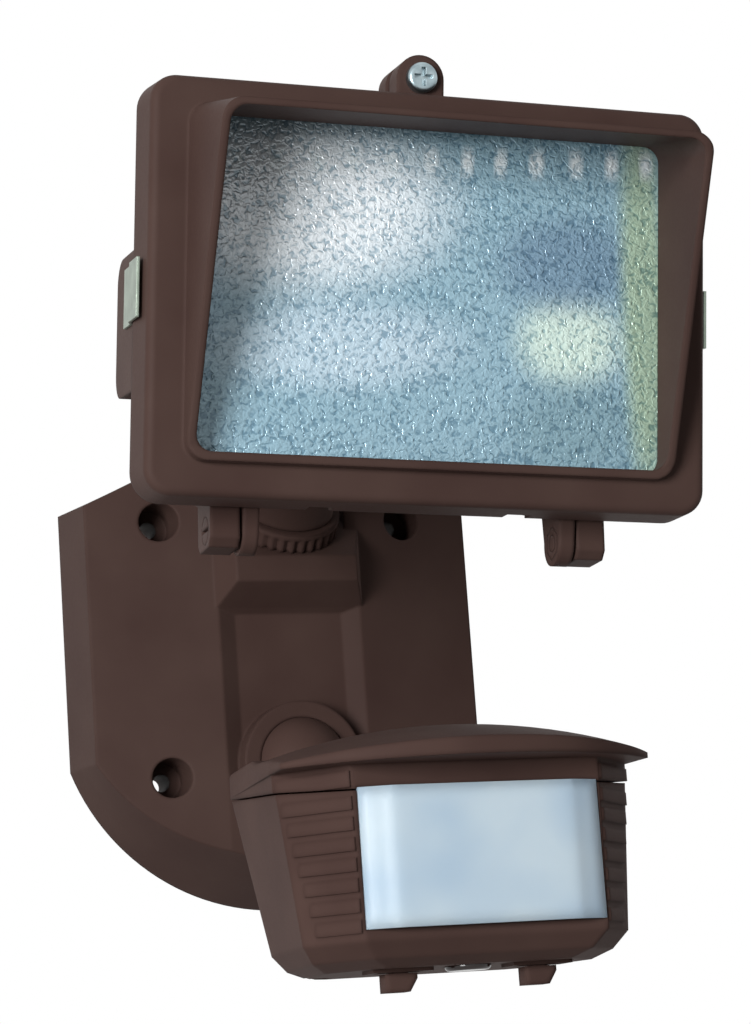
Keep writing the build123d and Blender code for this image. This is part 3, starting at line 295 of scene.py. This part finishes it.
# floor well under the part: pale to the eye everywhere, darker to bounced light so that undersides stay shaded
floorLook = {"height": -0.3, "size": 6.0, "rough": 0.9, "hex": "#a9a9a8", "bounceHex": "#4c4c4b", "glow": 0.62}
floorMesh = bpy.data.meshes.new("studioFloor")
floorBm = bmesh.new()
bmesh.ops.create_grid(floorBm, x_segments=1, y_segments=1, size=floorLook["size"],
                      matrix=Matrix.Translation((0, 0, floorLook["height"])))
floorBm.to_mesh(floorMesh)
floorBm.free()
floor = bpy.data.objects.new("studioFloor", floorMesh)
bpy.context.collection.objects.link(floor)
floorMaterial, floorTree, floorOutput = newMaterial("pale studio paper")[:3]
floorPath = addNode(floorTree, "ShaderNodeLightPath")
floorTone = addNode(floorTree, "ShaderNodeMix", {"data_type": "RGBA", 6: linearColour(floorLook["hex"]),
                                                 7: linearColour(floorLook["bounceHex"])},
                    {0: floorPath.outputs["Is Diffuse Ray"]})
floorSeen = addNode(floorTree, "ShaderNodeMath", {"operation": "SUBTRACT", 0: 1.0}, {1: floorPath.outputs["Is Diffuse Ray"]})
floorGlow = addNode(floorTree, "ShaderNodeMath", {"operation": "MULTIPLY", 1: floorLook["glow"]}, {0: floorSeen.outputs[0]})
paper = addNode(floorTree, "ShaderNodeBsdfPrincipled", {"Roughness": floorLook["rough"], "Emission Color": (1, 1, 1, 1)},
                {"Base Color": floorTone.outputs[2], "Emission Strength": floorGlow.outputs[0]})
floorTree.links.new(paper.outputs["BSDF"], floorOutput.inputs["Surface"])
floorMesh.materials.append(floorMaterial)

# world: plain soft light, plain white to camera, gloss and glass
worldLook = {"light": 0.11, "white": 1.0}
world = bpy.data.worlds.new("softStudio")
bpy.context.scene.world = world
world.use_nodes = True
worldTree = world.node_tree
worldTree.nodes.clear()
path = addNode(worldTree, "ShaderNodeLightPath")
seen = addNode(worldTree, "ShaderNodeMath", {"operation": "MAXIMUM"},
               {0: path.outputs["Is Camera Ray"], 1: path.outputs["Is Transmission Ray"]})
shown = addNode(worldTree, "ShaderNodeMath", {"operation": "MAXIMUM"}, {0: seen.outputs[0], 1: path.outputs["Is Glossy Ray"]})
level = addNode(worldTree, "ShaderNodeMapRange", {"To Min": worldLook["light"], "To Max": worldLook["white"]},
                {"Value": shown.outputs[0]})
sky = addNode(worldTree, "ShaderNodeBackground", {"Color": (1, 1, 1, 1)}, {"Strength": level.outputs["Result"]})
addNode(worldTree, "ShaderNodeOutputWorld", {}, {"Surface": sky.outputs["Background"]})

# soft lamps: the key stands on the left and in front, about level with the part
lampLooks = {
    "keyLamp": {"at": (-0.88, -1.0, 0.03), "size": 0.5, "power": 17.5},
    "fillLamp": {"at": (-0.2, -1.3, 0.2), "size": 0.8, "power": 0.6},
    "topLamp": {"at": (-0.1, -0.35, 1.1), "size": 0.7, "power": 0.6},
}
lampAim = Vector((0, -0.09, 0))
for lampName, look in lampLooks.items():
    light = bpy.data.lights.new(lampName, "AREA")
    light.size = look["size"]
    light.energy = look["power"]
    lamp = bpy.data.objects.new(lampName, light)
    lamp.location = look["at"]
    lamp.rotation_euler = (lampAim - Vector(look["at"])).to_track_quat("-Z", "Y").to_euler()
    bpy.context.collection.objects.link(lamp)

# camera at the photograph's angle, from below and left
cameraLook = {"at": (-0.241075, -0.781781, -0.121073), "yaw": 0.341, "pitch": 0.195, "roll": -0.070,
              "focalPixels": 2929.0, "imageHeight": 1024, "filmMm": 36, "nearest": 0.01}
yaw, pitch, roll = cameraLook["yaw"], cameraLook["pitch"], cameraLook["roll"]
forward = Vector((math.sin(yaw) * math.cos(pitch), math.cos(yaw) * math.cos(pitch), math.sin(pitch)))
right = Vector((math.cos(yaw), -math.sin(yaw), 0))
up = right.cross(forward)
rolledRight = right * math.cos(roll) + up * math.sin(roll)
rolledUp = up * math.cos(roll) - right * math.sin(roll)
cameraData = bpy.data.cameras.new("photoCamera")
cameraData.sensor_width = cameraLook["filmMm"]
cameraData.lens = cameraLook["focalPixels"] / cameraLook["imageHeight"] * cameraLook["filmMm"]
cameraData.clip_start = cameraLook["nearest"]
camera = bpy.data.objects.new("photoCamera", cameraData)
camera.matrix_world = Matrix((
    (rolledRight.x, rolledUp.x, -forward.x, cameraLook["at"][0]),
    (rolledRight.y, rolledUp.y, -forward.y, cameraLook["at"][1]),
    (rolledRight.z, rolledUp.z, -forward.z, cameraLook["at"][2]),
    (0, 0, 0, 1)))
bpy.context.collection.objects.link(camera)
bpy.context.scene.camera = camera
bpy.context.scene.view_settings.view_transform = "Standard"
print("studio set")
